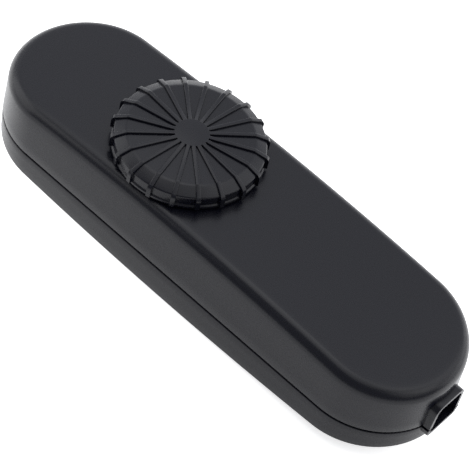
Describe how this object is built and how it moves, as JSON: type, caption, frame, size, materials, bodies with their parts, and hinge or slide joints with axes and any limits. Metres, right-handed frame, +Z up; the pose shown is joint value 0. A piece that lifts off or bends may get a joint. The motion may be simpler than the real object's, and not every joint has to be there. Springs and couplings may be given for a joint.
{
  "type": "rotary cord dimmer",
  "caption": "In-line lamp dimmer for a flexible cord: a long round-ended crowned plastic housing, parted along its side, with a cord entry at each end and a ribbed rotary knob on top.",
  "frame": {"origin": "under the middle of the body, on the plane of the underside's flat land", "axes": "+X along the body to the lamp end, away from the knob; +Y across the body; +Z up through the knob"},
  "size_m": [0.1218, 0.036, 0.029],
  "materials": {
    "housing_plastic": "fine-textured moulded plastic, charcoal",
    "knob_plastic": "satin moulded plastic, charcoal",
    "zinc_steel": "bright zinc-plated steel",
    "moulding_compound": "black moulding compound",
    "nylon_natural": "natural nylon",
    "terminal_plastic": "green moulded polyamide",
    "board_laminate": "paper-phenolic laminate",
    "track_laminate": "phenolic disc with a carbon track",
    "spring_bronze": "phosphor bronze",
    "brass_plated": "tinned brass",
    "ferrite": "powdered-iron ring, dark",
    "copper_wire": "enamelled copper",
    "film_case": "moulded box, dull yellow",
    "film_dip": "dipped film body, brown-red",
    "glass_bead": "glass-sealed diode bead",
    "resistor_coat": "tan lacquer",
    "fuse_glass": "clear glass tube",
    "nickel": "nickel plate",
    "aluminium_plate": "mill-finish aluminium"
  },
  "bodies": {
    "housing": {"top_cover": "housing_plastic", "base_tray": "housing_plastic", "housing_screws": "zinc_steel", "pot_case": "moulding_compound", "pot_track": "track_laminate", "mains_switch": "moulding_compound", "circuit_board": "board_laminate", "board_screws": "zinc_steel", "mains_terminal": "terminal_plastic", "lamp_terminal": "terminal_plastic", "terminal_screws": "zinc_steel", "mains_cord_clamp": "nylon_natural", "lamp_cord_clamp": "nylon_natural", "clamp_screws": "zinc_steel", "choke_core": "ferrite", "choke_winding": "copper_wire", "mains_capacitor": "film_case", "gate_capacitor": "film_dip", "diac": "glass_bead", "resistors": "resistor_coat", "fuse_tube": "fuse_glass", "fuse_caps": "nickel", "fuse_clips": "brass_plated", "heat_sink": "aluminium_plate", "triac": "moulding_compound", "triac_screw": "zinc_steel", "triac_nut": "zinc_steel"},
    "dial": {"knob": "knob_plastic", "pot_shaft": "nylon_natural", "pot_wiper": "spring_bronze"}
  },
  "joints": [
    {"name": "dial_turn", "type": "hinge", "parent": "housing", "child": "dial", "pos_m": [-0.014, 0, 0.0242], "axis": [0, 0, 1], "range_deg": [-300, 0]}
  ]
}
